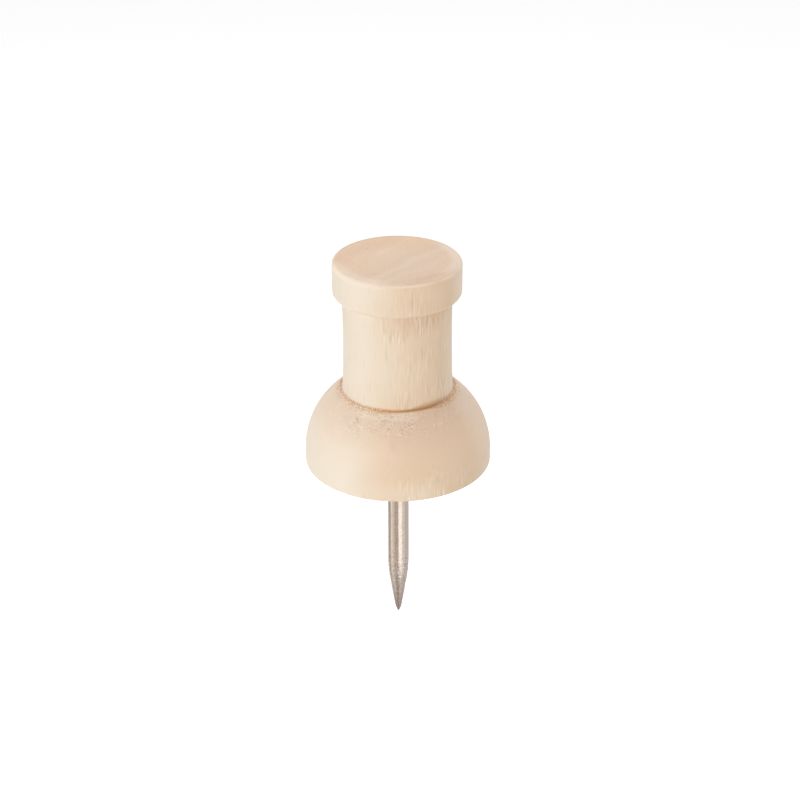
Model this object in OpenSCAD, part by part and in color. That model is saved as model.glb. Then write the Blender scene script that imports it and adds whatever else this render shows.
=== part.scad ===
// Push pin with a turned wooden handle and a steel pin pressed into it.
// The origin is on the pin's axis, on the flat underside that meets the board.
// +Z runs up through the head, so the point is at the bottom.

/* [Head] */
// Height of the whole handle, from its flat underside to its flat top
handle_h = 13; // [11.5:0.1:16]
// Diameter of the head that the thumb presses
head_d = 7; // [6.6:0.1:9]
// Height of the head's band
head_h = 1.92; // [1.2:0.01:3]
// Radius that softens the head's top edge
head_top_r = 0.22; // [0.05:0.01:0.4]
// Radius that softens the head's lower edge
head_foot_r = 0.22; // [0.05:0.01:0.3]

/* [Neck] */
// Diameter of the neck just under the head
neck_top_d = 5.98; // [5:0.01:6]
// Diameter of the neck at its slimmest
neck_waist_d = 5.92; // [4.6:0.01:5.97]
// Diameter of the neck at its foot
neck_foot_d = 6.05; // [5.2:0.01:6.3]
// Distance from the head down to the neck's slimmest place
neck_waist_drop = 2.4; // [1:0.1:3]

/* [Base] */
// Diameter of the dome at its widest
dome_d = 10.26; // [9:0.01:13]
// Radius of the dome's profile, from its side up to the neck
dome_curve_r = 4.53; // [4:0.01:5]
// Height above the board at which the dome's side starts to curve in
dome_side_h = 1.75; // [1.5:0.01:2.2]
// Height of the rim's lower edge above the board, because the underside is crowned
crown_h = 1.02; // [0.6:0.01:1.25]
// Radius that softens the rim
rim_r = 0.2; // [0.05:0.01:0.24]
// Diameter of the flat in the middle of the underside that meets the board
land_d = 5.5; // [3:0.1:6.5]
// Width of the narrow groove round the neck's foot
quirk_w = 0.15; // [0.05:0.01:0.3]
// Depth of that groove below the dome beside it
quirk_depth = 0.06; // [0.02:0.01:0.2]

/* [Pin] */
// Diameter of the wire, and of the bore that it is pressed into
wire_d = 1.2; // [1:0.01:1.6]
// Length of pin that stands out of the handle
pin_out = 9; // [7:0.1:12]
// Length of pin that is buried in the handle
pin_buried = 6.4; // [5:0.1:8]
// Angle between the point's straight flank and the axis
point_angle = 9.2; // [8:0.1:14]
// Radius of the curve where the wire runs into the point
point_shoulder_r = 9; // [3:0.1:12]
// Radius of the curve that closes the tip
point_nose_r = 1.4; // [0.3:0.1:1.5]
// Angle between that curve's end and the axis, at the very tip
point_nose_angle = 30; // [20:1:50]

/* [Grip] */
// Number of barbs rolled on the buried end
barb_count = 6; // [3:1:8]
// Length of one barb
barb_pitch = 0.5; // [0.3:0.01:0.55]
// Depth of a barb's root below the wire
barb_depth = 0.08; // [0.03:0.01:0.15]
// Chamfer on the buried end
tail_chamfer = 0.15; // [0.05:0.01:0.3]
// Length of empty bore past the buried end
bore_spare = 0.15; // [0.05:0.01:0.5]
// Included angle of the drill that made the bore
drill_angle = 118; // [90:1:140]

/* [Hidden] */
$fn = 96;
// Steps along the dome's long curve, and along each smaller one
dome_steps = 24;
curve_steps = 8;

head_r = head_d / 2;
head_z = handle_h - head_h;
neck_top_r = neck_top_d / 2;
neck_waist_r = neck_waist_d / 2;
neck_waist_z = head_z - neck_waist_drop;
neck_foot_r = neck_foot_d / 2;

dome_r = dome_d / 2;
dome_curve_x = dome_r - dome_curve_r;
quirk_x = neck_foot_r + quirk_w;
dome_top_angle = acos((quirk_x - dome_curve_x) / dome_curve_r);
quirk_z = dome_side_h + dome_curve_r * sin(dome_top_angle) - quirk_depth;

// The crowned underside is a straight line from the flat's edge that just touches the rim's curve
land_r = land_d / 2;
rim_x = dome_r - rim_r;
rim_z = crown_h + rim_r;
crown_slope = atan2(rim_z, rim_x - land_r) - asin(rim_r / norm([rim_x - land_r, rim_z]));

wire_r = wire_d / 2;
bore_h = pin_buried + bore_spare;
bore_tip_h = wire_r / tan(drill_angle / 2);
barb_root_r = wire_r - barb_depth;
barb_zone_h = barb_count * barb_pitch;

// The point, worked out from the tip up: nose curve, straight flank, shoulder curve
tip_r = wire_r / 24;
nose_x = tip_r - point_nose_r * cos(point_nose_angle);
nose_z = point_nose_r * sin(point_nose_angle) - pin_out;
flank_foot_r = nose_x + point_nose_r * cos(point_angle);
flank_foot_z = nose_z - point_nose_r * sin(point_angle);
shoulder_x = wire_r - point_shoulder_r;
flank_top_r = shoulder_x + point_shoulder_r * cos(point_angle);
flank_h = (flank_top_r - flank_foot_r) / tan(point_angle);
shank_end_z = flank_foot_z + flank_h + point_shoulder_r * sin(point_angle);

// Points along a round stretch of an outline, between two angles
function arc(centre, r, from, to, steps = curve_steps) = [
    for (i = [0 : steps])
        let (a = from + (to - from) * i / steps)
            centre + r * [cos(a), sin(a)]
];

// Points along a stretch that leaves the waist straight up or down and swells evenly to its end
function flare(waist, end) = [
    for (i = [1 : curve_steps])
        let (share = i / curve_steps)
            [waist.x + (end.x - waist.x) * share * share, waist.y + (end.y - waist.y) * share]
];

function backwards(points) = [for (i = [len(points) - 1 : -1 : 0]) points[i]];

// Half of the handle's section: down its outside, in along the underside, up the bore
waist = [neck_waist_r, neck_waist_z];
handle_outline = concat(
    [[0, handle_h]],
    arc([head_r - head_top_r, handle_h - head_top_r], head_top_r, 90, 0),
    arc([head_r - head_foot_r, head_z + head_foot_r], head_foot_r, 0, -90),
    backwards(flare(waist, [neck_top_r, head_z])),
    [waist],
    flare(waist, [neck_foot_r, quirk_z]),
    [[quirk_x, quirk_z]],
    arc([dome_curve_x, dome_side_h], dome_curve_r, dome_top_angle, 0, dome_steps),
    arc([rim_x, rim_z], rim_r, 0, crown_slope - 90),
    [[land_r, 0], [wire_r, 0], [wire_r, bore_h], [0, bore_h + bore_tip_h]]
);

// Half of the pin's section: down from the chamfered tail, past the barbs, to the tip.
// A barb is widest at its lower end, so the pin goes in easily and pulls out hard.
pin_outline = concat(
    [
        [0, pin_buried],
        [wire_r - tail_chamfer, pin_buried],
        [wire_r, pin_buried - tail_chamfer],
        [wire_r, barb_zone_h]
    ],
    [
        for (i = [barb_count - 1 : -1 : 0])
            each [[barb_root_r, (i + 1) * barb_pitch], [wire_r, i * barb_pitch]]
    ],
    arc([shoulder_x, shank_end_z], point_shoulder_r, 0, -point_angle),
    arc([nose_x, nose_z], point_nose_r, -point_angle, -point_nose_angle),
    [[0, -pin_out]]
);

module turned_handle() {
    color([0.91, 0.80, 0.67])
        rotate_extrude()
            polygon(handle_outline);
}

module steel_pin() {
    color([0.71, 0.65, 0.60])
        rotate_extrude()
            polygon(pin_outline);
}

turned_handle();
steel_pin();
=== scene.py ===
"""A wooden push pin: a turned birch handle with a ground steel pin pressed into it.

Sizes are in millimetres and become metres where a mesh, a lamp or the camera is made. Turns round the
pin's axis start at the front and go towards the right.
"""

import math
import random
from types import SimpleNamespace

import bpy
import numpy as np
from mathutils import Matrix, Vector, noise


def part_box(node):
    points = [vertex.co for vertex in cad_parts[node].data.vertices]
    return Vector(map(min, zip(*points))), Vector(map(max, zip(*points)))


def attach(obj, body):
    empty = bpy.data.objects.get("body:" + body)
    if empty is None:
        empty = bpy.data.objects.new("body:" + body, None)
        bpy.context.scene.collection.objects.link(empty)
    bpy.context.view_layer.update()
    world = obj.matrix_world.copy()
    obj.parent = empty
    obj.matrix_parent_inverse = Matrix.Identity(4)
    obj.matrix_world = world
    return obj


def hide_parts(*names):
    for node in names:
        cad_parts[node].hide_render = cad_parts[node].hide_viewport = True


MM = 0.001

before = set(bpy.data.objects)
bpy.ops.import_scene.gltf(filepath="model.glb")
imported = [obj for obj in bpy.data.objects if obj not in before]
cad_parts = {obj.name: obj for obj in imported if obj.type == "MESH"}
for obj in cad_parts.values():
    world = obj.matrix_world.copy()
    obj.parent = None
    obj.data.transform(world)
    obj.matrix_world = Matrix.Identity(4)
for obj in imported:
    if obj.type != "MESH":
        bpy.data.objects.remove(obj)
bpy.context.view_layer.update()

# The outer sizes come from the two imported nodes
handle_low, handle_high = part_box("turned_handle")
pin_low, pin_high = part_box("steel_pin")
HANDLE_H = handle_high.z / MM
DOME_R = handle_high.x / MM
WIRE_R = pin_high.x / MM
PIN_OUT = -pin_low.z / MM
PIN_BURIED = pin_high.z / MM

# Head
HEAD_R = 3.5
HEAD_H = 1.92
HEAD_TOP_ROUND = 0.22
HEAD_FOOT_ROUND = 0.22

# Neck
NECK_TOP_R = 2.99
NECK_WAIST_R = 2.96
NECK_FOOT_R = 3.025
NECK_WAIST_DROP = 2.4

# Base, with the narrow groove round the neck's foot
DOME_CURVE_R = 4.53
DOME_SIDE_H = 1.75
CROWN_H = 1.02
RIM_ROUND = 0.2
LAND_R = 2.75
QUIRK_W = 0.15
QUIRK_DEPTH = 0.06
BORE_SPARE = 0.15
DRILL_HALF_ANGLE = math.radians(59)

# Point of the pin, and the barbs on its buried end
POINT_ANGLE = math.radians(9.2)
SHOULDER_R = 9.0
NOSE_R = 1.4
NOSE_ANGLE = math.radians(30)
TIP_R = WIRE_R / 24
BARB_COUNT = 6
BARB_PITCH = 0.5
BARB_DEPTH = 0.08
TAIL_CHAMFER = 0.15

HEAD_Z = HANDLE_H - HEAD_H
WAIST_Z = HEAD_Z - NECK_WAIST_DROP
DOME_CURVE_X = DOME_R - DOME_CURVE_R
QUIRK_X = NECK_FOOT_R + QUIRK_W
DOME_TOP_ANGLE = math.acos((QUIRK_X - DOME_CURVE_X) / DOME_CURVE_R)
EDGE_Z = DOME_SIDE_H + DOME_CURVE_R * math.sin(DOME_TOP_ANGLE)
QUIRK_Z = EDGE_Z - QUIRK_DEPTH
BORE_H = PIN_BURIED + BORE_SPARE

# Depths of the marks that are cut into the wood, and heights of what stands on it
FIBRE_GROOVE_DEPTH = 0.007
PIT_DEPTH = 0.006
CLEAN_CUT_DEPTH = 0.012
TEAR_DEPTH = 0.008
TORN_CRUMB_H = 0.022
LOOSE_CRUMB_H = 0.012

# How high torn wood fills the groove's floor, and how much of that is burnt away at most
FLOOR_FILL_H = 0.065
FLOOR_BURNT_H = 0.03

# Depths of the marks that the grinding wheel left on the point
CHATTER_DEPTH = 0.01
GRIT_DEPTH = 0.012
RING_DEPTH = 0.003

# How far down the head's side its top reaches, where it is worn and has a painted highlight
WORN_TOP_H = 0.32

# How finely each piece is meshed, and the bend from which an edge looks sharp
HANDLE_SEGMENTS = 440
PIN_SEGMENTS = 240
SHARP_BEND = math.radians(55)

# The studio: a floor below the point, how much it is lifted to white, and the light from all round
FLOOR_Z = -30
FLOOR_HALF_W = 2500
FLOOR_LIFT = 0.4
SKY_SIDE = 1.19
SKY_TOP = 0.4

# The lamps: how far they stand from the handle, how wide they are, and the height that they face
LAMP_AWAY = 200
LAMP_W = 140
LAMP_AIM_Z = 4

# A length too small to matter, which keeps a row of points on its own side of an edge
HAIR = 0.001


def arc(centre, radius, start, end, rows):
    """Points along a round stretch of an outline, without its first one."""
    turns = [start + (end - start) * (i + 1) / rows for i in range(rows)]
    return [(centre[0] + radius * math.cos(a), centre[1] + radius * math.sin(a)) for a in turns]


def straight(start, end, rows):
    """Points along a straight stretch of an outline, without its first one."""
    shares = [(i + 1) / rows for i in range(rows)]
    return [(start[0] + (end[0] - start[0]) * s, start[1] + (end[1] - start[1]) * s) for s in shares]


def swell(waist, end, z):
    """Radius of the neck at height z, between its waist and one end."""
    share = (z - waist[1]) / (end[1] - waist[1])
    return waist[0] + (end[0] - waist[0]) * share * share


def neck_outline():
    """The neck from under the head to its foot, with close rows where its foot is torn."""
    waist = (NECK_WAIST_R, WAIST_Z)
    top = (NECK_TOP_R, HEAD_Z)
    foot = (NECK_FOOT_R, QUIRK_Z)
    torn_h = 0.45
    smooth_rows = 50
    torn_rows = 13
    heights = list(np.linspace(HEAD_Z, QUIRK_Z + torn_h, smooth_rows))
    heights += list(np.linspace(QUIRK_Z + torn_h, QUIRK_Z, torn_rows)[1:])
    return [(swell(waist, top if z > WAIST_Z else foot, z), z) for z in heights]


def handle_outline():
    """Half of the handle's section, from the top's centre, down its outside and up its bore."""
    top_edge = HEAD_R - HEAD_TOP_ROUND
    foot_edge = HEAD_R - HEAD_FOOT_ROUND
    corner_gap = 0.02
    rim_x = DOME_R - RIM_ROUND
    rim_z = CROWN_H + RIM_ROUND
    reach = math.hypot(rim_x - LAND_R, rim_z)
    crown_slope = math.atan2(rim_z, rim_x - LAND_R) - math.asin(RIM_ROUND / reach)
    dome = (DOME_CURVE_X, DOME_SIDE_H)
    pitted_end = DOME_TOP_ANGLE - math.radians(20)
    quarter = math.pi / 2
    points = [(0.0, HANDLE_H)]
    points += straight(points[-1], (top_edge, HANDLE_H), rows=26)
    points += arc((top_edge, HANDLE_H - HEAD_TOP_ROUND), HEAD_TOP_ROUND, quarter, 0, rows=9)
    points += straight(points[-1], (HEAD_R, HEAD_Z + HEAD_FOOT_ROUND), rows=14)
    points += arc((foot_edge, HEAD_Z + HEAD_FOOT_ROUND), HEAD_FOOT_ROUND, 0, -quarter, rows=7)
    points += straight(points[-1], (NECK_TOP_R + corner_gap, HEAD_Z), rows=3)
    points += neck_outline()
    points += straight(points[-1], (QUIRK_X, QUIRK_Z), rows=4)
    points += [(QUIRK_X, EDGE_Z)]
    points += arc(dome, DOME_CURVE_R, DOME_TOP_ANGLE, pitted_end, rows=36)
    points += arc(dome, DOME_CURVE_R, pitted_end, 0, rows=28)
    points += straight(points[-1], (DOME_R, rim_z), rows=4)
    points += arc((rim_x, rim_z), RIM_ROUND, 0, crown_slope - quarter, rows=6)
    points += straight(points[-1], (LAND_R, 0), rows=10)
    points += straight(points[-1], (WIRE_R, 0), rows=5)
    points += straight(points[-1], (WIRE_R, BORE_H), rows=5)
    points += [(0.0, BORE_H + WIRE_R / math.tan(DRILL_HALF_ANGLE))]
    return points


def pin_outline():
    """Half of the pin's section, from the buried tail past the barbs to the tip."""
    nose_x = TIP_R - NOSE_R * math.cos(NOSE_ANGLE)
    nose_z = NOSE_R * math.sin(NOSE_ANGLE) - PIN_OUT
    flank_foot = (nose_x + NOSE_R * math.cos(POINT_ANGLE), nose_z - NOSE_R * math.sin(POINT_ANGLE))
    shoulder_x = WIRE_R - SHOULDER_R
    flank_top_r = shoulder_x + SHOULDER_R * math.cos(POINT_ANGLE)
    flank_h = (flank_top_r - flank_foot[0]) / math.tan(POINT_ANGLE)
    shank_end = flank_foot[1] + flank_h + SHOULDER_R * math.sin(POINT_ANGLE)
    root_r = WIRE_R - BARB_DEPTH
    points = [(0.0, PIN_BURIED), (WIRE_R - TAIL_CHAMFER, PIN_BURIED)]
    points += [(WIRE_R, PIN_BURIED - TAIL_CHAMFER)]
    points += straight(points[-1], (WIRE_R, BARB_COUNT * BARB_PITCH), rows=4)
    for i in reversed(range(BARB_COUNT)):
        points += [(root_r, (i + 1) * BARB_PITCH), (WIRE_R, i * BARB_PITCH)]
    points += straight(points[-1], (WIRE_R, shank_end), rows=90)
    points += arc((shoulder_x, shank_end), SHOULDER_R, 0, -POINT_ANGLE, rows=50)
    points += straight(points[-1], flank_foot, rows=64)
    points += arc((nose_x, nose_z), NOSE_R, -POINT_ANGLE, -NOSE_ANGLE, rows=16)
    points += [(0.0, -PIN_OUT)]
    return points


def outward(outline):
    """The outline's normal at each point, as (radial, upward) parts."""
    points = np.array(outline)
    along = np.gradient(points, axis=0)
    across = np.stack([-along[:, 1], along[:, 0]], axis=1)
    return across / np.linalg.norm(across, axis=1)[:, None]


def lathe(name, outline, segments, surface):
    """Turns an outline round the Z axis into one closed mesh, and cuts the surface's own marks into it.

    The surface function takes the points and the upward part of their normals, and gives a depth in
    millimetres for each point and the masks that the material reads.
    """
    points = np.array(outline)
    normals = outward(outline)
    turns = np.arange(segments) * 2 * math.pi / segments
    ring = np.stack([np.cos(turns), np.sin(turns)], axis=1)
    inner = points[1:-1]
    sides = np.concatenate([
        inner[:, None, :1] * ring[None],
        np.broadcast_to(inner[:, None, 1:], (len(inner), segments, 1)),
    ], axis=2).reshape(-1, 3)
    directions = np.concatenate([
        normals[1:-1, None, :1] * ring[None],
        np.broadcast_to(normals[1:-1, None, 1:], (len(inner), segments, 1)),
    ], axis=2).reshape(-1, 3)
    depth, masks = surface(sides, directions[:, 2])
    sides = sides - directions * depth[:, None]
    ends = [(0.0, 0.0, points[0, 1]), (0.0, 0.0, points[-1, 1])]
    verts = np.concatenate([sides, ends]) * MM

    here = np.arange(segments)
    after = (here + 1) % segments
    faces = []
    for row in range(len(inner) - 1):
        upper = row * segments
        lower = upper + segments
        faces += np.stack([upper + here, lower + here, lower + after, upper + after], axis=1).tolist()
    first = len(sides)
    last_row = (len(inner) - 1) * segments
    faces += np.stack([np.full(segments, first), here, after], axis=1).tolist()
    faces += np.stack([last_row + here, np.full(segments, first + 1), last_row + after], axis=1).tolist()

    mesh = bpy.data.meshes.new(name)
    mesh.from_pydata(verts.tolist(), [], faces)
    for mask, values in masks.items():
        layer = mesh.attributes.new(mask, "FLOAT", "POINT")
        ends_too = np.append(values, [values[0], values[-1]])
        layer.data.foreach_set("value", ends_too.astype(np.float32))
    mesh.shade_smooth()
    mesh.set_sharp_from_angle(angle=SHARP_BEND)
    mesh.update()
    piece = bpy.data.objects.new(name, mesh)
    bpy.context.scene.collection.objects.link(piece)
    return piece


def grain_noise(points, cell, seed):
    """Smooth noise from -1 to 1 at each point, in cells of a size in millimetres along X, Y and Z."""
    seed_step = 17.3
    places = points / np.array(cell) + seed * seed_step
    return np.array([noise.noise(Vector(p)) for p in places])


def smooth_step(low, high, values):
    """0 at low and before it, 1 at high and past it, and an even rise between them."""
    share = np.clip((values - low) / (high - low), 0, 1)
    return share * share * (3 - 2 * share)


def sector(turn, centre, none, full):
    """1 near a turn of centre degrees, and 0 far from it.

    The cosine of how far away the turn is decides: 0 where it is none or less, 1 where it is full or
    more.
    """
    return smooth_step(none, full, np.cos(turn - math.radians(centre)))


def two_sectors(turn, centre, none, full):
    """The same near the centre and opposite it, because the wood's fibres lie alike on both sides.

    Here the cosine is that of twice how far away the turn is.
    """
    return smooth_step(none, full, np.cos(2 * (turn - math.radians(centre))))


def clean_cut(turn):
    """1 where the tool cut the groove round the neck's foot cleanly, and 0 where it tore the fibres."""
    return two_sectors(turn, 16, 0.5, 0.9)


def handle_places(points, up):
    """Where each point of the handle is, in the terms that the marks on it follow."""
    at = SimpleNamespace(points=points, up=up)
    at.radius = np.hypot(points[:, 0], points[:, 1])
    at.height = points[:, 2]
    at.turn = np.arctan2(points[:, 0], -points[:, 1])
    # -1 at the far left, 0 in front and behind, and 1 at the far right
    at.right = np.sin(at.turn)
    at.below_head = HEAD_Z - at.height
    at.above_edge = np.maximum(at.height - EDGE_Z, 0)
    at.from_edge = np.hypot(at.radius - QUIRK_X, at.height - EDGE_Z)
    at.inside_edge = at.radius < QUIRK_X - HAIR
    at.on_head = at.height > HEAD_Z
    at.on_top = at.height > HANDLE_H - WORN_TOP_H
    at.on_neck = at.inside_edge & (at.height < HEAD_Z) & (at.height > QUIRK_Z + HAIR)
    at.on_base = (at.radius > QUIRK_X - HAIR) & (at.height < EDGE_Z + HAIR)
    at.from_left = smooth_step(-0.5, 0.35, at.right)
    at.to_right = smooth_step(0.3, 0.7, at.right)
    # Fibres stand up above the rim, and only a little to the right of the middle
    in_part = smooth_step(-0.15, 0.15, at.right) * smooth_step(0.85, 0.35, at.right)
    at.near_rim = smooth_step(2.9, 1.4, at.height) * in_part * at.on_base
    return at


def fibre_height(at):
    """How proud the fibres stand along the handle, where tumbling hasn't worn them down."""
    side_grain = 1 - smooth_step(0.05, 0.5, np.abs(at.up))
    high_head = smooth_step(HANDLE_H - 1.2, HANDLE_H - 0.5, at.height)
    low_neck = smooth_step(3.8, 5.2, at.below_head) * at.on_neck
    in_part = smooth_step(-0.55, -0.2, at.right) * (1 - 0.8 * smooth_step(0.3, 0.6, at.right))
    under_head = smooth_step(1.75, 0.9, at.below_head) * in_part * at.on_neck
    everywhere = np.ones(len(at.height))
    proud = sum(share * place for share, place in (
        (0.34, everywhere),
        (3.4, under_head),
        (0.36, low_neck),
        (0.25, low_neck * at.to_right),
        (0.95, at.near_rim),
        (-0.12, at.on_base),
        (0.24, at.on_head),
        (-0.34, at.on_head * at.to_right),
        (-0.26, at.on_head * high_head),
    ))
    return proud * side_grain * (0.16 + 0.7 * at.from_left)


def shoulder_marks(at):
    """Where the shoulder is pitted, where it keeps the tool's rings, and where loose crumbs lie on it.

    Vessels come out at a slant on the shoulder, in front and behind, and leave short dark pits there.
    """
    pitted_band = smooth_step(2.1, 0.7, at.from_edge) * smooth_step(0.05, 0.35, at.from_edge) * at.on_base
    pitted = (0.2 + 0.8 * two_sectors(at.turn, -8, -0.1, 0.8) + 0.3 * at.to_right) * pitted_band
    ringed_band = smooth_step(4.9, 4.4, at.height) * smooth_step(3.6, 4.1, at.height) * at.on_base
    ringed = (0.15 + 0.35 * sector(at.turn, 1.72, 0.982, 0.997)) * ringed_band
    loose = smooth_step(0.5, 0.15, at.from_edge) * sector(at.turn, -8.59, 0.72, 0.9) * at.on_base
    return pitted, ringed, loose


def groove_marks(at):
    """The groove round the neck's foot: burnt by the tool where it cut cleanly, and torn at the sides.

    torn is 1 in the groove and fades out beside it, and ragged is the part of it that crumbled. burn
    says how strongly the tool's heat shows, and scorched and golden are the turns where it shows most.
    """
    marks = SimpleNamespace(clean=clean_cut(at.turn))
    sideways = smooth_step(0.3, 0.9, np.abs(at.right))
    reach_up = 0.08 + 0.03 * (1 - marks.clean)
    reach_out = 0.07 + (0.13 + 0.12 * sideways) * (1 - marks.clean)
    gap = np.where(at.inside_edge, at.above_edge, at.from_edge)
    away = gap / np.where(at.inside_edge, reach_up, reach_out)
    marks.torn = (1 - smooth_step(0.35, 1.0, away)) * (at.height > DOME_SIDE_H)
    marks.ragged = marks.torn * (1 - marks.clean)
    marks.floor = at.inside_edge & (at.height < EDGE_Z - HAIR)
    marks.burn = 1 - 0.75 * smooth_step(-0.2, -0.8, at.right) - 0.4 * smooth_step(0.65, 0.9, at.right)
    marks.golden = sector(at.turn, -12, 0.88, 0.99)
    marks.scorched = sector(at.turn, 47, 0.9, 0.99)
    return marks


def brown_rub_and_painted_shade(at, groove, crumbs):
    """Where the wood is brown: rubbed by the tool on one stretch of the groove and on the neck's foot,
    with painted shade above the groove on the right, and a painted shadow under the head.
    """
    # Brown above the groove on the right: the tool's rub, with painted shade
    foot_rub_and_shade_h = 0.12 + 0.3 * two_sectors(at.turn, 38, 0.6, 0.98)
    foot_rub_and_shade = smooth_step(1, 0, at.above_edge / foot_rub_and_shade_h) * two_sectors(at.turn, 38, 0.1, 0.9)
    # A painted shadow under the head, on the right of the front
    shadow_under_head = smooth_step(1.5, 0, at.below_head)
    shadow_under_head = shadow_under_head * smooth_step(-0.35, 0.5, np.sin(at.turn + math.radians(12)))
    neck_rub_and_shade = np.maximum(0.85 * foot_rub_and_shade, 0.3 * shadow_under_head) * at.on_neck
    groove_rub = 0.9 * groove.scorched * groove.torn * (1.1 - crumbs)
    return np.maximum(neck_rub_and_shade, groove_rub) * groove.burn


def paler_by_wear_and_painted_light(at, cloud):
    """Where the wood is paler: worn edges of the head with painted highlights, painted light on the head's
    foot and the rim, dust on the shoulder, and a painted rim light on the far right.
    """
    # The top's rounding: worn, and a painted highlight where it meets the light
    top_round_wear_and_highlight = smooth_step(0.2, 0.5, at.up) * smooth_step(0.9, 0.7, at.up)
    top_round_wear_and_highlight = top_round_wear_and_highlight * smooth_step(-0.7, 0.1, at.right)
    # Spots along the top's edge: worn, with a painted highlight
    top_edge = 0.35 * sector(at.turn, 95, 0.6, 0.95) + 0.3 * sector(at.turn, -48, 0.7, 0.95)
    top_edge = top_edge * smooth_step(HEAD_R - 0.85, HEAD_R - 0.35, at.radius)
    # The head's foot: painted light that lifts the shade of its rounding, which faces down
    foot_edge = smooth_step(0.22, 0.04, np.abs(at.height - HEAD_Z - 0.02))
    foot_edge = foot_edge * (at.radius > NECK_WAIST_R - 0.1)
    # The rim: painted light that lifts its shade
    rim_painted_light = smooth_step(2.6, 1.4, at.height) * smooth_step(0.5, 0.3, at.right) * at.on_base
    dust = smooth_step(0.75, 0.3, at.from_edge) * sector(at.turn, -11.46, 0.8, 0.95) * at.on_base
    # The far right: a painted rim light
    painted_right_rim_light = smooth_step(0.78, 0.97, at.right) * (at.height < HANDLE_H - HEAD_TOP_ROUND)
    return np.maximum.reduce([
        top_round_wear_and_highlight * (0.35 + 0.5 * cloud) * at.on_top,
        top_edge * at.on_top,
        foot_edge * (0.12 + 0.14 * smooth_step(0.6, -0.3, at.right) + 0.1 * cloud),
        0.25 * rim_painted_light + 0.08 * at.near_rim,
        0.42 * dust,
        (0.3 + 0.15 * at.on_head) * painted_right_rim_light,
    ])


def ruddy_end(at, cloud):
    """Where the end grain on top is ruddier: on its left, and along its back."""
    x = at.points[:, 0]
    y = at.points[:, 1]
    on_left = smooth_step(3.4, 0.2, np.hypot(x + 2.6, y) + 0.5 * cloud)
    at_back = smooth_step(-0.3, 2.0, y) * smooth_step(3.2, 1.2, x)
    return np.maximum(0.6 * on_left, 0.55 * at_back) * smooth_step(0.9, 1.0, at.up) * at.on_top


def turned_surface(points, up):
    """Marks of turning, sanding and wear on the handle: their depth, and the masks for their colour."""
    at = handle_places(points, up)
    proud = fibre_height(at)
    pitted, ringed, loose = shoulder_marks(at)
    groove = groove_marks(at)

    # Cells of the noise are a bundle of fibres, a thin one, a cluster of dots, a dot and a stain
    fibres = grain_noise(points, (1 / 13, 1 / 13, 1 / 0.8), 1)
    fine_fibres = grain_noise(points, (1 / 19, 1 / 19, 1 / 1.1), 2)
    dots = grain_noise(points, (1 / 8, 1 / 8, 1 / 8), 3)
    fine_dots = grain_noise(points, (1 / 17, 1 / 17, 1 / 17), 4)
    cloud = grain_noise(points, (1 / 0.8, 1 / 0.8, 1 / 0.8), 5)
    grooves = np.clip(0.7 * fibres + 0.6 * fine_fibres - 0.08, 0, 1) * proud
    pits = np.clip(dots + 0.7 * fine_dots - 0.15, 0, 1) * pitted
    crumbs = np.clip(0.5 * dots + 1.4 * fine_dots + 0.35, 0, 1)
    fallen = loose * (1 - groove.torn)

    depth = FIBRE_GROOVE_DEPTH * grooves + PIT_DEPTH * pits
    depth += CLEAN_CUT_DEPTH * groove.torn * groove.clean
    depth += groove.ragged * (TEAR_DEPTH - TORN_CRUMB_H * crumbs)
    depth -= groove.ragged * groove.floor * (FLOOR_FILL_H - FLOOR_BURNT_H * groove.burn)
    depth -= LOOSE_CRUMB_H * fallen * crumbs

    crumbly = groove.ragged * (1 - 0.1 * groove.golden) * (0.8 + 0.2 * at.from_left)
    burnt_cut = groove.torn * groove.clean * (0.85 + 0.5 * fine_fibres)
    burnt_tear = groove.ragged * (0.8 - 0.4 * crumbs + 0.5 * groove.golden) * (1 - 0.5 * groove.scorched)
    masks = {
        "end_grain": np.abs(up),
        "fibre": proud,
        "pitted": pitted,
        "ringed": ringed,
        "crumbly": np.maximum(crumbly, 0.45 * fallen),
        "tear": (burnt_cut + burnt_tear) * groove.burn,
        "rubbed": brown_rub_and_painted_shade(at, groove, crumbs),
        "worn": paler_by_wear_and_painted_light(at, cloud),
        "ruddy": ruddy_end(at, cloud),
    }

    # Nothing is cut into the bore or into the flat that touches the wire
    marked = np.maximum(smooth_step(WIRE_R + 0.02, 2 * WIRE_R, at.radius), at.on_head)
    return depth * marked, {name: values * marked for name, values in masks.items()}


def ground_surface(points, up):
    """Marks of the grinding wheel on the point, which fade out on the wire above it."""
    height = points[:, 2]
    turn = np.arctan2(points[:, 0], -points[:, 1])
    # Faint marks start just below the handle, and strong ones where the wire runs into the point
    wheel = 0.26 * smooth_step(-0.2, -3.0, height) + 0.74 * smooth_step(-4.2, -6.4, height)
    not_tip = smooth_step(-PIN_OUT, -PIN_OUT + 0.4, height)
    chatter = grain_noise(points, (1 / 12, 1 / 12, 1 / 6), 5)
    grit = grain_noise(points, (1 / 26, 1 / 26, 1 / 12), 6)
    rings = grain_noise(np.stack([turn * WIRE_R, height, height * 0], axis=1), (1, 1 / 16, 1), 7)
    cuts = CHATTER_DEPTH * np.clip(chatter, 0, 1) + GRIT_DEPTH * np.clip(grit, 0, 1)
    cuts += RING_DEPTH * (1 + rings)
    return cuts * wheel * not_tip, {"wheel": wheel, "point": smooth_step(-6.4, -8.6, height)}


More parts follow.
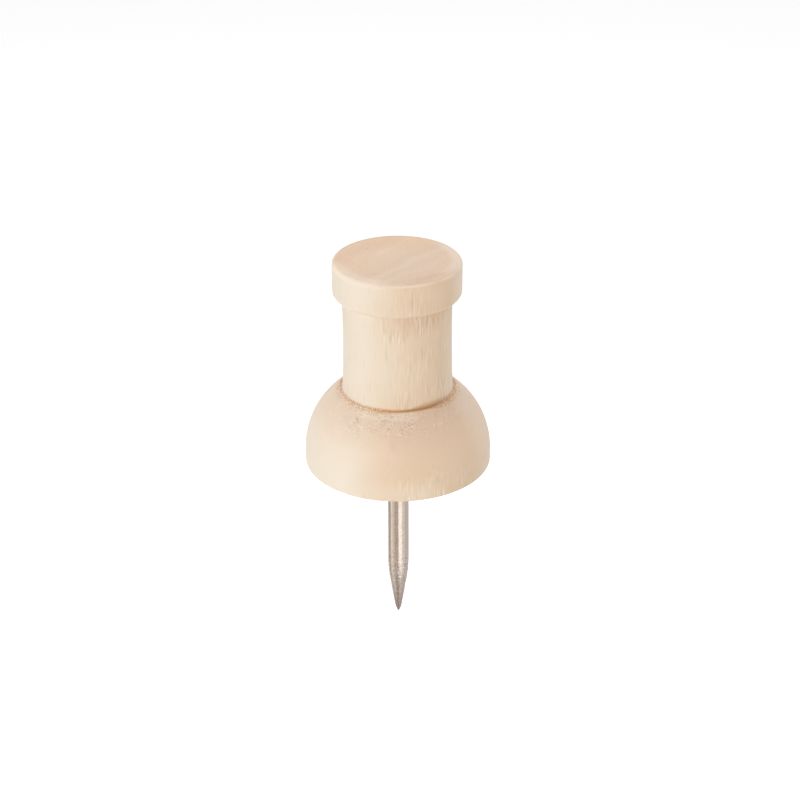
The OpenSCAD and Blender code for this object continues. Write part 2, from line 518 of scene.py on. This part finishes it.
def torn_fibres(material):
    """Loose slivers of wood left standing along the groove where the tool tore it."""
    draw = random.Random(4)
    tries = 320
    root_depth = 0.03
    verts = []
    faces = []
    scorch = []
    for _ in range(tries):
        turn = draw.uniform(-math.pi, math.pi)
        off_edge = draw.uniform(-0.1, 0.26)
        if draw.random() < float(clean_cut(turn)):
            continue
        radius = QUIRK_X + off_edge
        ground_z = DOME_SIDE_H + math.sqrt(DOME_CURVE_R ** 2 - (radius - DOME_CURVE_X) ** 2)
        if off_edge < 0:
            ground_z = QUIRK_Z
        around = Vector((math.cos(turn), math.sin(turn), 0))
        out = Vector((math.sin(turn), -math.cos(turn), 0))
        up = Vector((0, 0, 1))
        root = out * radius + up * (ground_z - root_depth)
        lean = around * draw.uniform(-1, 1) + out * draw.uniform(-0.3, 0.5)
        tip = root + (lean + up * draw.uniform(0.5, 1.2)).normalized() * draw.uniform(0.07, 0.19)
        width = draw.uniform(0.011, 0.021)
        base = len(verts)
        scorch += [draw.uniform(0.0, 0.6)] * 4
        for i in range(3):
            angle = i * 2 * math.pi / 3
            verts.append(root + (around * math.cos(angle) + out * math.sin(angle)) * width)
        verts.append(tip)
        faces += [(base, base + 2, base + 1)]
        faces += [(base + i, base + (i + 1) % 3, base + 3) for i in range(3)]
    mesh = bpy.data.meshes.new("torn_fibres")
    mesh.from_pydata([tuple(v * MM) for v in verts], [], faces)
    mesh.attributes.new("tear", "FLOAT", "POINT").data.foreach_set("value", scorch)
    mesh.materials.append(material)
    mesh.update()
    piece = bpy.data.objects.new("torn_fibres", mesh)
    bpy.context.scene.collection.objects.link(piece)
    return piece


def linear(hex_colour):
    """An sRGB hex colour as the linear RGBA that Blender's sockets take."""
    channels = [int(hex_colour[i:i + 2], 16) / 255 for i in (1, 3, 5)]
    return tuple(c / 12.92 if c <= 0.04045 else ((c + 0.055) / 1.055) ** 2.4 for c in channels) + (1.0,)


def add_node(tree, kind, inputs=None, **settings):
    """Adds a node, sets its properties, and gives each named input a value or another node's output."""
    node = tree.nodes.new("ShaderNode" + kind)
    for name, value in settings.items():
        setattr(node, name, value)
    for key, value in (inputs or {}).items():
        if isinstance(value, bpy.types.NodeSocket):
            tree.links.new(value, node.inputs[key])
        else:
            node.inputs[key].default_value = value
    return node


def new_material(name):
    """A material without any nodes yet, and its node tree."""
    material = bpy.data.materials.new(name)
    material.use_nodes = True
    material.node_tree.nodes.clear()
    return material, material.node_tree


# The colour inputs and the output of a Mix node that mixes colours
MIX_A, MIX_B, MIX_OUT = 6, 7, 2


def read_masks(tree, names):
    """The masks that the mesh carries, by name."""
    return {name: add_node(tree, "Attribute", attribute_name=name).outputs["Fac"] for name in names}


def place_in_mm(tree):
    """The place on the piece in millimetres."""
    place = add_node(tree, "TexCoord").outputs["Object"]
    return add_node(tree, "VectorMath", {0: place, "Scale": 1 / MM}, operation="SCALE").outputs["Vector"]


def add_patterns(tree, marks, in_mm, table):
    """Adds patterns to the marks, each with a name, a cell's size in mm, its detail and its distortion."""
    for name, cell, detail, distortion in table:
        in_cells = add_node(tree, "VectorMath", {0: in_mm, 1: cell}, operation="DIVIDE").outputs[0]
        inputs = {"Vector": in_cells, "Scale": 1.0, "Detail": detail, "Distortion": distortion}
        marks[name] = add_node(tree, "TexNoise", inputs).outputs[0]


def limit_marks(tree, marks, table):
    """Adds marks that show where a pattern passes a level, and only as far as another mark does.

    Each has a name, its pattern, the level where it starts, the level where it is full, how strong it
    is at most, and the mark that it keeps to.
    """
    for name, pattern, start, full, most, keeps_to in table:
        level = add_node(tree, "MapRange", {
            "Value": marks[pattern], "From Min": start, "From Max": full, "To Max": most,
        }).outputs[0]
        limited = add_node(tree, "Math", {0: level, 1: marks[keeps_to]}, operation="MULTIPLY")
        marks[name] = limited.outputs[0]


def paint(tree, colour, marks, table):
    """Lays the colour of each mark over the last, as strongly as the mark shows."""
    for name, tone in table:
        inputs = {0: marks[name], MIX_A: colour, MIX_B: linear(tone)}
        colour = add_node(tree, "Mix", inputs, data_type="RGBA").outputs[MIX_OUT]
    return colour


def birch():
    """Birch, turned, sanded by tumbling and left bare.

    Long grain is pale cream on the left of the front and tan on its right, a tan that is partly the
    wood's own and partly painted shade, with short dashes where vessels were cut open; end grain drinks
    the light and looks a shade darker and pinker; where the tool rubbed it, it is scorched to a golden
    brown. Painted light and shade are laid on too: paler edges and rim, a painted rim light on the far
    right, a painted shadow under the head, and painted light and shade on the shoulder's pits.
    """
    material, tree = new_material("turned_birch")
    in_mm = place_in_mm(tree)
    marks = read_masks(tree, (
        "end_grain", "fibre", "pitted", "ringed", "crumbly", "tear", "rubbed", "worn", "ruddy",
    ))
    # A vessel is 0.06 mm wide and an open one shows for a millimetre; fibres lie in bundles 0.17 mm wide.
    # Pits are 0.1 mm across and lie in clusters, and crumbs are 0.07 mm across
    add_patterns(tree, marks, in_mm, (
        ("vessels", (1 / 16, 1 / 16, 1 / 1.2), 0.0, 0.0),
        ("bundles", (1 / 6, 1 / 6, 1 / 0.35), 3.0, 0.0),
        ("patches", (1 / 0.9, 1 / 0.9, 1 / 0.5), 1.0, 0.0),
        ("cloud", (1 / 0.45, 1 / 0.45, 1 / 0.45), 2.0, 0.0),
        ("pits", (1 / 10, 1 / 10, 1 / 10), 1.0, 1.6),
        ("clusters", (1 / 1.3, 1 / 1.3, 1 / 1.3), 1.0, 0.0),
        ("crumbs", (1 / 14, 1 / 14, 1 / 14), 0.0, 0.0),
    ))

    # Growth layers lie about 1.3 mm apart round the pith, which is well outside the handle, and run
    # almost straight up
    pith_at = (20, -19, 0)
    across = (1, 1, 0.02)
    layer_gap = 4 / 3
    waviness = 2.0
    from_pith = add_node(tree, "VectorMath", {0: in_mm, 1: pith_at}, operation="SUBTRACT").outputs[0]
    flat = add_node(tree, "VectorMath", {0: from_pith, 1: across}, operation="MULTIPLY").outputs[0]
    pith = add_node(tree, "VectorMath", {0: flat}, operation="LENGTH").outputs["Value"]
    wavy = add_node(tree, "Math", {0: marks["cloud"], 1: waviness, 2: pith},
                    operation="MULTIPLY_ADD").outputs[0]
    layers = add_node(tree, "TexNoise", {"W": wavy, "Scale": 1 / layer_gap, "Detail": 2.0},
                      noise_dimensions="1D").outputs[0]
    # The wood turns tan from 28.7 mm down to 25 mm from the pith, off to the front right; this tan is
    # partly the wood's own and partly painted shade on that side
    tan_and_painted_shade = add_node(tree, "MapRange", {"Value": wavy, "From Min": 28.7, "From Max": 25.0},
                    interpolation_type="SMOOTHSTEP").outputs[0]
    long_grain = add_node(tree, "Mix", {0: tan_and_painted_shade, MIX_A: linear("#EBDDC9"), MIX_B: linear("#E2C5A5")},
                          data_type="RGBA").outputs[MIX_OUT]
    end_tone = add_node(tree, "Mix", {0: tan_and_painted_shade, MIX_A: linear("#F1DECA"), MIX_B: linear("#E7CBB3")},
                        data_type="RGBA").outputs[MIX_OUT]

    # End grain: how much of it shows, how open its pores are, and its layers
    how_end = add_node(tree, "MapRange", {"Value": marks["end_grain"], "From Min": 0.12, "From Max": 1.0},
                       interpolation_type="SMOOTHSTEP").outputs[0]
    flat_end = add_node(tree, "MapRange", {
        "Value": marks["end_grain"], "From Min": 0.6, "From Max": 1.0,
    }).outputs[0]
    marks["open_end"] = add_node(tree, "MapRange", {
        "Value": flat_end, "To Min": 0.22, "To Max": 1.0,
    }).outputs[0]
    layered = add_node(tree, "Mix", {"Factor": flat_end, "A": 0.5, "B": layers}).outputs[0]
    marks["layered"] = add_node(tree, "Math", {0: layered, 1: how_end}, operation="MULTIPLY").outputs[0]

    # Dashes and streaks of the long grain, pores, pits and crumbs. The pits' dark is partly painted shade,
    # and the pale beside them is a painted highlight on raised fibres
    limit_marks(tree, marks, (
        ("streaked", "bundles", 0.42, 0.68, 0.25, "fibre"),
        ("patchy", "patches", 0.32, 0.56, 1.0, "fibre"),
        ("dark_dash", "vessels", 0.54, 0.74, 1.0, "patchy"),
        ("pale_dash", "vessels", 0.46, 0.28, 1.0, "patchy"),
        ("pore", "vessels", 0.775, 0.83, 1.0, "open_end"),
        ("clustered", "clusters", 0.36, 0.5, 1.0, "pitted"),
        # Pits, dark partly with painted shade, and a painted highlight on the raised fibres beside them
        ("pit_and_painted_shade", "pits", 0.53, 0.7, 1.0, "clustered"),
        ("painted_highlight_on_raised", "pits", 0.46, 0.3, 0.9, "clustered"),
        ("ring_patch", "patches", 0.42, 0.6, 1.0, "ringed"),
        ("dark_crumb", "crumbs", 0.5, 0.72, 1.0, "crumbly"),
        ("pale_crumb", "crumbs", 0.5, 0.28, 1.0, "crumbly"),
    ))

    # The tool left rings 0.1 mm apart on the shoulder, and sanding left only patches of them. The bands
    # of a Wave texture lie pi / 10 apart at a scale of 1
    rings = add_node(tree, "TexWave", {"Vector": in_mm, "Scale": 3.2, "Distortion": 0.6, "Detail": 1.0},
                     bands_direction="Z").outputs["Fac"]
    marks["ring"] = add_node(tree, "Math", {0: rings, 1: marks["ring_patch"]},
                             operation="MULTIPLY").outputs[0]

    colour = paint(tree, long_grain, marks, (
        ("streaked", "#D6B792"),
        ("dark_dash", "#D3B896"),
        ("pale_dash", "#F3E6D2"),
    ))
    colour = add_node(tree, "Mix", {0: how_end, MIX_A: colour, MIX_B: end_tone},
                      data_type="RGBA").outputs[MIX_OUT]
    colour = paint(tree, colour, marks, (
        ("layered", "#D2B195"),
        ("ruddy", "#E3BD99"),
        # Paler wood: wear and dust, with painted highlights and painted light on the edges, rim and far
        # right
        ("worn", "#F6EAD8"),
        ("pore", "#B48F72"),
        ("tear", "#DFB27C"),
        ("dark_crumb", "#CE9C70"),
        ("pale_crumb", "#F4E2CC"),
        # Brown rub, with painted shade above the groove and a painted shadow under the head
        ("rubbed", "#C3946A"),
        ("ring", "#D3B495"),
        # Pits, darkened partly with painted shade, and a painted highlight on the raised fibres beside
        # them
        ("pit_and_painted_shade", "#C39D80"),
        ("painted_highlight_on_raised", "#F1E2D2"),
    ))

    relief = add_node(tree, "Math", {0: marks["vessels"], 1: marks["fibre"]},
                      operation="MULTIPLY").outputs[0]
    relief = add_node(tree, "Math", {0: marks["pits"], 1: marks["clustered"], 2: relief},
                      operation="MULTIPLY_ADD").outputs[0]
    relief = add_node(tree, "Math", {0: relief, 1: marks["ring"]}, operation="SUBTRACT").outputs[0]
    bump = add_node(tree, "Bump", {"Height": relief, "Strength": 0.4, "Distance": 0.04 * MM})
    shader = add_node(tree, "BsdfPrincipled", {
        "Base Color": colour,
        "Roughness": 0.58,
        "IOR": 1.5,
        "Sheen Weight": 0.12,
        "Sheen Roughness": 0.5,
        "Normal": bump.outputs["Normal"],
    })
    add_node(tree, "OutputMaterial", {"Surface": shader.outputs[0]})
    return material


def plated_steel():
    """Nickel-plated steel wire, drawn and then ground to a point.

    The plating is bright and a little warm; the ground point is duller and pinker, with dark pits and
    pale grit specks painted in as sparkle.
    """
    material, tree = new_material("plated_steel")
    in_mm = place_in_mm(tree)
    marks = read_masks(tree, ("wheel", "point"))
    # Drawing lines are 0.1 mm apart and run along the wire, and grit marks are 0.07 mm wide
    add_patterns(tree, marks, in_mm, (
        ("lines", (1 / 9, 1 / 9, 1 / 0.35), 3.0, 0.0),
        ("grit", (1 / 15, 1 / 15, 1 / 8), 2.0, 0.0),
        ("orange_patches", (1 / 4, 1 / 4, 1 / 0.9), 2.0, 0.0),
    ))
    limit_marks(tree, marks, (
        ("pitted", "grit", 0.5, 0.75, 1.0, "wheel"),
        ("painted_sparkle", "grit", 0.45, 0.25, 1.0, "wheel"),
    ))
    # Orange-tinted patches along the wire
    marks["orange_tinted"] = add_node(tree, "MapRange", {
        "Value": marks["orange_patches"], "From Min": 0.6, "From Max": 0.75, "To Max": 0.38,
    }).outputs[0]
    colour = paint(tree, linear("#DCCEC2"), marks, (
        ("orange_tinted", "#D3A57C"),
        ("point", "#B29F96"),
        ("pitted", "#9A8B83"),
        # Pale grit specks: a painted sparkle
        ("painted_sparkle", "#F2E8E0"),
    ))

    # The plating is polished and the ground point dull, and both are uneven along the drawing lines
    dullness = add_node(tree, "MapRange", {
        "Value": marks["wheel"], "To Min": 0.12, "To Max": 0.28,
    }).outputs[0]
    uneven = add_node(tree, "Math", {0: marks["lines"], 1: 0.12, 2: -0.06},
                      operation="MULTIPLY_ADD").outputs[0]
    roughness = add_node(tree, "Math", {0: dullness, 1: uneven}, operation="ADD").outputs[0]
    scratched = add_node(tree, "Math", {0: marks["grit"], 1: marks["wheel"], 2: marks["lines"]},
                         operation="MULTIPLY_ADD").outputs[0]
    bump = add_node(tree, "Bump", {"Height": scratched, "Strength": 0.3, "Distance": 0.006 * MM})
    shader = add_node(tree, "BsdfPrincipled", {
        "Base Color": colour,
        "Metallic": 1.0,
        "Roughness": roughness,
        "Normal": bump.outputs["Normal"],
    })
    add_node(tree, "OutputMaterial", {"Surface": shader.outputs[0]})
    return material


def seen_directly(tree):
    """1 where the camera, a polished surface or a clear one sees this, and 0 for the light it gives."""
    path = add_node(tree, "LightPath")
    either = add_node(tree, "Math", {0: path.outputs["Is Camera Ray"], 1: path.outputs["Is Glossy Ray"]},
                      operation="MAXIMUM")
    either = add_node(tree, "Math", {0: either.outputs[0], 1: path.outputs["Is Transmission Ray"]},
                      operation="MAXIMUM")
    return either.outputs[0]


def studio_world():
    """Light from all round, like a light tent: bright walls and a dimmer roof. It looks plain white."""
    world = bpy.data.worlds.new("studio")
    world.use_nodes = True
    tree = world.node_tree
    tree.nodes.clear()
    direction = add_node(tree, "TexCoord").outputs["Generated"]
    rise = add_node(tree, "SeparateXYZ", {"Vector": direction}).outputs["Z"]
    given = add_node(tree, "MapRange", {
        "Value": rise, "From Min": 0.15, "From Max": 0.5, "To Min": SKY_SIDE, "To Max": SKY_TOP,
    }, interpolation_type="SMOOTHSTEP").outputs[0]
    strength = add_node(tree, "Mix", {"Factor": seen_directly(tree), "A": given, "B": 1.0}).outputs[0]
    light = add_node(tree, "Background", {"Color": (1, 1, 1, 1), "Strength": strength})
    add_node(tree, "OutputWorld", {"Surface": light.outputs[0]})
    bpy.context.scene.world = world


def stage_sheet(name, corners, faces, material):
    """A flat sheet that belongs to the studio and not to the pin."""
    mesh = bpy.data.meshes.new(name)
    mesh.from_pydata([Vector(c) * MM for c in corners], [], faces)
    mesh.materials.append(material)
    sheet = bpy.data.objects.new(name, mesh)
    bpy.context.scene.collection.objects.link(sheet)
    return sheet


def paper_floor():
    """A matt white sheet below the point. It holds the shadow, and from below it lets the view through."""
    material, tree = new_material("white_paper")
    paper = add_node(tree, "BsdfDiffuse", {"Color": linear("#F4F4F4")})
    lift = add_node(tree, "Math", {0: seen_directly(tree), 1: FLOOR_LIFT}, operation="MULTIPLY")
    glow = add_node(tree, "Emission", {"Color": (1, 1, 1, 1), "Strength": lift.outputs[0]})
    lit = add_node(tree, "AddShader", {0: paper.outputs[0], 1: glow.outputs[0]})
    clear = add_node(tree, "BsdfTransparent", {"Color": (1, 1, 1, 1)})
    side = add_node(tree, "NewGeometry").outputs["Backfacing"]
    one_sided = add_node(tree, "MixShader", {0: side, 1: lit.outputs[0], 2: clear.outputs[0]})
    add_node(tree, "OutputMaterial", {"Surface": one_sided.outputs[0]})
    signs = ((-1, -1), (1, -1), (1, 1), (-1, 1))
    corners = [(x * FLOOR_HALF_W, y * FLOOR_HALF_W, FLOOR_Z) for x, y in signs]
    stage_sheet("paper_floor", corners, [(0, 1, 2, 3)], material)


def reflector(name, start, end, near, far, brightness, colour):
    """A wedge of card just above the floor that only polished metal sees.

    It covers the turns from start to end, in degrees, between two distances from the pin's axis.
    """
    material, tree = new_material(name)
    glow = add_node(tree, "Emission", {"Color": linear(colour), "Strength": brightness})
    add_node(tree, "OutputMaterial", {"Surface": glow.outputs[0]})
    steps = 12
    card_z = FLOOR_Z + 0.3
    turns = [math.radians(start + (end - start) * i / steps) for i in range(steps + 1)]
    rims = [[(math.sin(a) * r, -math.cos(a) * r, card_z) for a in turns] for r in (near, far)]
    faces = [(i, i + 1, i + steps + 2, i + steps + 1) for i in range(steps)]
    sheet = stage_sheet(name, rims[0] + rims[1], faces, material)
    sheet.visible_camera = False
    sheet.visible_diffuse = False
    sheet.visible_shadow = False


def soft_lamp(name, direction, brightness):
    """A square area lamp that faces the handle; a brightness of 1 is as bright as white paper looks."""
    data = bpy.data.lights.new(name, "AREA")
    data.shape = "SQUARE"
    data.size = LAMP_W * MM
    data.energy = brightness * math.pi * data.size ** 2
    lamp = bpy.data.objects.new(name, data)
    aim = Vector(direction).normalized()
    lamp.location = aim * LAMP_AWAY * MM + Vector((0, 0, LAMP_AIM_Z * MM))
    lamp.rotation_mode = "QUATERNION"
    lamp.rotation_quaternion = aim.to_track_quat("Z", "Y")
    lamp.visible_camera = False
    bpy.context.scene.collection.objects.link(lamp)


def camera():
    """Looks down at the pin from the front, as the photograph does, with the same slight lean."""
    elevation = math.radians(26.87)
    lean = math.radians(-0.2)
    distance = 120
    target_x = 0.13
    target_z = 4.61
    data = bpy.data.cameras.new("camera")
    data.sensor_width = 36
    data.lens = 98.16
    data.clip_start = 1 * MM
    data.clip_end = 10
    view = bpy.data.objects.new("camera", data)
    place = Vector((target_x, -distance * math.cos(elevation), target_z + distance * math.sin(elevation)))
    tilt = Matrix.Rotation(math.pi / 2 - elevation, 4, "X")
    view.matrix_world = Matrix.Translation(place * MM) @ tilt @ Matrix.Rotation(lean, 4, "Z")
    bpy.context.scene.collection.objects.link(view)
    bpy.context.scene.camera = view


camera()
studio_world()
paper_floor()

# Each lamp's name, its direction from the handle, and its brightness
for lamp_name, lamp_direction, lamp_brightness in (
    ("low_key", (-0.55, -0.8, 0.2), 2.3),
    ("right_fill", (0.95, -0.2, 0.12), 0.65),
    ("overhead", (-0.05, 0.15, 1), 2.7),
):
    soft_lamp(lamp_name, lamp_direction, lamp_brightness)

# The straight wire reflects the outer ring of cards, the curve above the point the middle one, and the
# point the inner one. Each ring has its near and far distance from the axis, and each card its name, its
# first and last turn, its brightness and its colour
for ring_near, ring_far, cards in (
    (26, 400, (
        ("far_left_card", -132, -85, 0.54, "#FFFCF8"),
        ("left_card", -85, -68, 1.15, "#FFFCF6"),
        ("left_shade_card", -68, -42, 0.82, "#FFFAF2"),
        ("left_dark_card", -42, 4, 0.58, "#FFF8EE"),
        ("window_card", 4, 42, 1.4, "#FFFFFF"),
        ("right_card", 42, 76, 0.88, "#FFFCFA"),
        ("right_dark_card", 76, 122, 0.66, "#FFFFFF"),
        ("far_right_card", 122, 180, 0.62, "#FFFFFF"),
    )),
    # The two inner rings are mostly dimmer than the floor: a painted shadow, the pin's own shadow on the
    # floor below it, which only the metal sees
    (22.8, 26, (
        ("shoulder_left_card", -180, -88, 0.45, "#FFFBF8"),
        ("shoulder_pale_card", -88, -50, 0.88, "#FFFBF8"),
        ("shoulder_dark_card", -50, 6, 0.56, "#FFFBF6"),
        ("shoulder_window_card", 6, 50, 1.2, "#FFFBF8"),
        ("shoulder_right_card", 50, 180, 0.66, "#FFFBF8"),
    )),
    (0, 22.8, (
        ("point_left_card", -180, -42, 0.86, "#FFFBF8"),
        ("point_dark_card", -42, 18, 0.42, "#FFFBF6"),
        ("point_right_card", 18, 180, 0.68, "#FFFBF8"),
    )),
):
    for card_name, first_turn, last_turn, card_brightness, card_colour in cards:
        reflector(card_name, first_turn, last_turn, ring_near, ring_far, card_brightness, card_colour)

wood = birch()
steel = plated_steel()

handle = lathe("turned_wood", handle_outline(), HANDLE_SEGMENTS, turned_surface)
handle.data.materials.append(wood)
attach(handle, "root")
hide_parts("turned_handle")

fibres = torn_fibres(wood)
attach(fibres, "root")

pin = lathe("ground_pin", pin_outline(), PIN_SEGMENTS, ground_surface)
pin.data.materials.append(steel)
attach(pin, "root")
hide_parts("steel_pin")

bpy.context.scene.view_settings.view_transform = "Standard"
